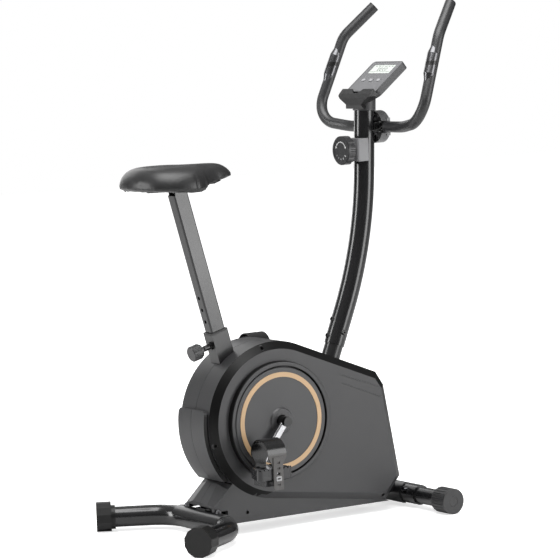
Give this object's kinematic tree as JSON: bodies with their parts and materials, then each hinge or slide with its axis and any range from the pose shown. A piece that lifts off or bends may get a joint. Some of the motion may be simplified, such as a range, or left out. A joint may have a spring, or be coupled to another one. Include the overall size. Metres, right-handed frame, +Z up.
{
  "type": "upright exercise bike",
  "caption": "Upright magnetic exercise bike with a curved post, closed flywheel housing, strapped pedals, padded saddle on a sliding post, upswept foam handlebar and a small console.",
  "frame": {"origin": "on the floor under the centre of the bike's bounding box", "axes": "+X towards the front feet and console, +Y to the rider's left, +Z up"},
  "size_m": [0.8654, 0.5196, 1.2527],
  "materials": {
    "black_tube": "gloss",
    "frame_steel": "satin",
    "housing": "fine texture",
    "disc": "satin",
    "ring": "satin metallic",
    "chrome_steel": "polished",
    "zinc_bolt": "satin",
    "black_bolt": "satin",
    "pedal": "satin",
    "strap": "soft",
    "pulley": "satin",
    "iron": "turned",
    "belt": "ribbed",
    "magnet": "zinc",
    "bare_steel": "ground",
    "console": "fine texture",
    "bezel": "gloss",
    "lens": "clear over a pale display",
    "button": "soft",
    "ledge": "ribbed",
    "bracket": "satin",
    "knob": "satin",
    "foam": "fine cellular foam",
    "sensor": "polished plates on a black core",
    "cap": "satin",
    "wheel": "satin",
    "vinyl": "grained vinyl",
    "pan": "satin",
    "collar": "satin",
    "wire": "smooth"
  },
  "bodies": {
    "frame": {"main_frame": "frame_steel", "rear_stabiliser": "black_tube", "front_stabiliser": "black_tube", "rear_bolts": "zinc_bolt", "front_bolts": "zinc_bolt", "cover_left": "housing", "cover_right": "housing", "disc_left": "disc", "disc_right": "disc", "ring_left": "ring", "ring_right": "ring", "tail_cover": "housing", "cover_screws": "black_bolt", "front_post": "black_tube", "post_bolts": "black_bolt", "sleeve_collar": "collar", "flywheel_axle": "bare_steel", "drive_belt": "belt", "tension_bracket": "bracket", "console_shell": "console", "console_bezel": "bezel", "console_lens": "lens", "console_ledge": "ledge", "pulse_wire": "wire", "handlebar_clamp": "frame_steel", "clamp_cover": "console"},
    "crank": {"crank_axle": "chrome_steel", "crank_arm_left": "chrome_steel", "crank_arm_right": "chrome_steel", "drive_pulley": "pulley", "pedal_spindle_left": "chrome_steel", "pedal_spindle_right": "chrome_steel"},
    "left_pedal": {"pedal_left": "pedal", "strap_left": "strap"},
    "right_pedal": {"pedal_right": "pedal", "strap_right": "strap"},
    "wheel": {"flywheel": "iron"},
    "magnets": {"magnet_arm": "magnet"},
    "tension_dial": {"tension_knob": "knob"},
    "seat_slide": {"seat_post": "black_tube"},
    "saddle": {"saddle_cushion": "vinyl", "saddle_pan": "pan"},
    "seat_pin": {"pin_knob": "knob"},
    "key_left": {"button_left": "button"},
    "key_middle": {"button_middle": "button"},
    "key_right": {"button_right": "button"},
    "handlebar": {"handlebar_tube": "black_tube", "grip_left": "foam", "grip_right": "foam", "pulse_left": "sensor", "pulse_right": "sensor", "plug_left": "cap", "plug_right": "cap"},
    "roller_left": {"front_wheel_left": "wheel"},
    "roller_right": {"front_wheel_right": "wheel"},
    "foot_left": {"rear_cap_left": "cap"},
    "foot_right": {"rear_cap_right": "cap"}
  },
  "joints": [
    {"name": "crank_spin", "type": "hinge", "parent": "frame", "child": "crank", "pos_m": [-0.07635, 0, 0.264], "axis": [0, 1, 0], "continuous": true},
    {"name": "left_pedal_spin", "type": "hinge", "parent": "crank", "child": "left_pedal", "pos_m": [0.00986, 0.152, 0.37047], "axis": [0, 1, 0], "continuous": true},
    {"name": "right_pedal_spin", "type": "hinge", "parent": "crank", "child": "right_pedal", "pos_m": [-0.16257, -0.152, 0.15753], "axis": [0, 1, 0], "continuous": true},
    {"name": "flywheel_spin", "type": "hinge", "parent": "frame", "child": "wheel", "pos_m": [0.14865, 0.038, 0.185], "axis": [0, 1, 0], "continuous": true},
    {"name": "tension_turn", "type": "hinge", "parent": "frame", "child": "tension_dial", "pos_m": [0.19865, 0, 0.893], "axis": [1, 0, 0], "range_deg": [0, 270]},
    {"name": "magnet_swing", "type": "hinge", "parent": "frame", "child": "magnets", "pos_m": [0.22824, 0.038, 0.12282], "axis": [0, 1, 0], "range_deg": [0, 5.4]},
    {"name": "seat_height", "type": "slide", "parent": "frame", "child": "seat_slide", "axis": [-0.2595, 0, 0.9657], "range_m": [-0.12, 0.06]},
    {"name": "saddle_tilt", "type": "hinge", "parent": "seat_slide", "child": "saddle", "pos_m": [-0.29144, 0, 0.838], "axis": [0, 1, 0], "range_deg": [-8, 8]},
    {"name": "pin_pull", "type": "slide", "parent": "frame", "child": "seat_pin", "axis": [-0.9657, 0, -0.2595], "range_m": [0, 0.01], "stiffness_N_per_m": 400, "springref_m": -0.01},
    {"name": "handlebar_tilt", "type": "hinge", "parent": "frame", "child": "handlebar", "pos_m": [0.29985, 0, 0.946], "axis": [0, 1, 0], "range_deg": [-15, 15]},
    {"name": "left_roller_spin", "type": "hinge", "parent": "frame", "child": "roller_left", "pos_m": [0.32615, 0.203, 0.0315], "axis": [0, 1, 0], "continuous": true},
    {"name": "right_roller_spin", "type": "hinge", "parent": "frame", "child": "roller_right", "pos_m": [0.32615, -0.203, 0.0315], "axis": [0, 1, 0], "continuous": true},
    {"name": "left_foot_level", "type": "hinge", "parent": "frame", "child": "foot_left", "pos_m": [-0.39955, 0.22051, 0.033], "axis": [-0.8643, 0.503, 0], "range_deg": [0, 180]},
    {"name": "right_foot_level", "type": "hinge", "parent": "frame", "child": "foot_right", "pos_m": [-0.39955, -0.22051, 0.033], "axis": [-0.8643, -0.503, 0], "range_deg": [0, 180]},
    {"name": "left_key_press", "type": "slide", "parent": "frame", "child": "key_left", "axis": [0.6115, 0, -0.7912], "range_m": [0, 0.0012], "stiffness_N_per_m": 600, "springref_m": -0.001},
    {"name": "middle_key_press", "type": "slide", "parent": "frame", "child": "key_middle", "axis": [0.6115, 0, -0.7912], "range_m": [0, 0.0012], "stiffness_N_per_m": 600, "springref_m": -0.001},
    {"name": "right_key_press", "type": "slide", "parent": "frame", "child": "key_right", "axis": [0.6115, 0, -0.7912], "range_m": [0, 0.0012], "stiffness_N_per_m": 600, "springref_m": -0.001}
  ],
  "couplings": [
    {"joint": "flywheel_spin", "follows": "crank_spin", "ratio": 5.5556},
    {"joint": "magnet_swing", "follows": "tension_turn", "ratio": 0.02}
  ]
}
